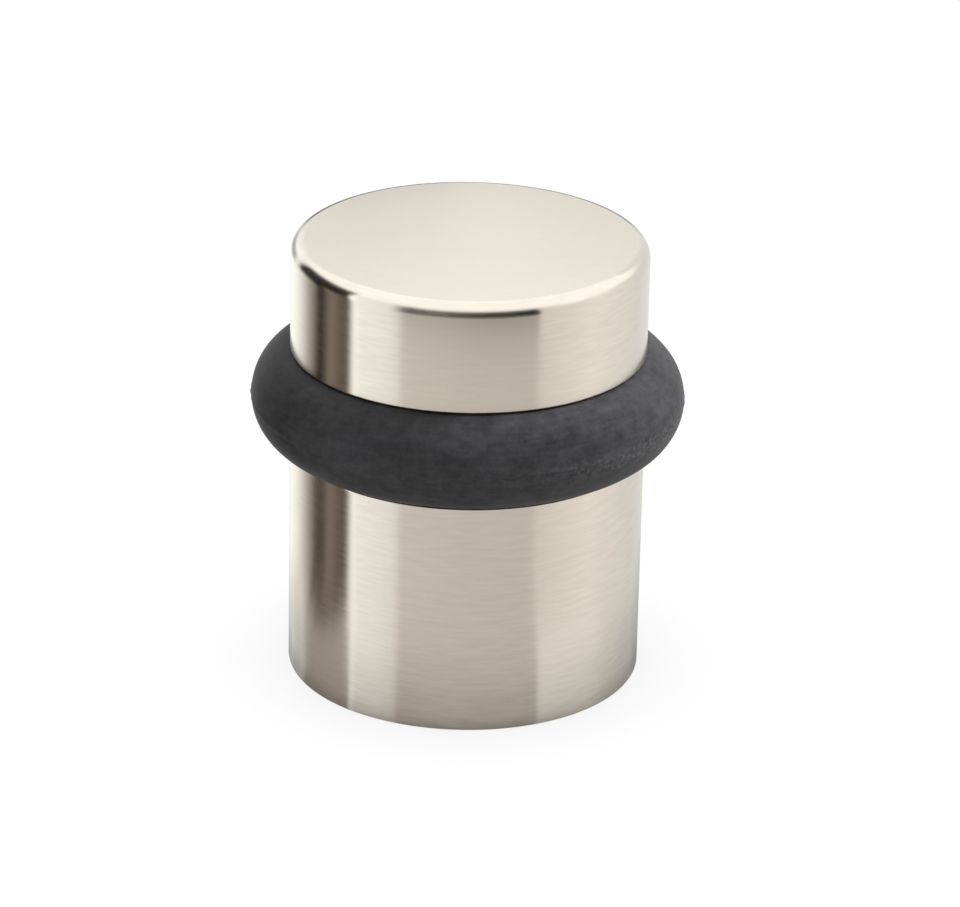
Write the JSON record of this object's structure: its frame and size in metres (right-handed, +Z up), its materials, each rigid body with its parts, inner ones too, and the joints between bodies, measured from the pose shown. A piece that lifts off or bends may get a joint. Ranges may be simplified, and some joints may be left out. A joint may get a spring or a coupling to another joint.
{
  "type": "floor door stop",
  "caption": "Turned metal cylinder that fixes to the floor through a tapped hole in its base and stops a door on a thick rubber ring held in a groove.",
  "frame": {"origin": "centre of the base, on the floor", "axes": "+Z up along the axis of the cylinder, away from the floor; X and Y in the floor, in any direction because the stop is round"},
  "size_m": [0.0428, 0.0428, 0.0445],
  "materials": {
    "satin_nickel": "satin",
    "black_rubber": "matte"
  },
  "bodies": {
    "root": {"stop_body": "satin_nickel", "bumper_ring": "black_rubber"}
  },
  "joints": []
}
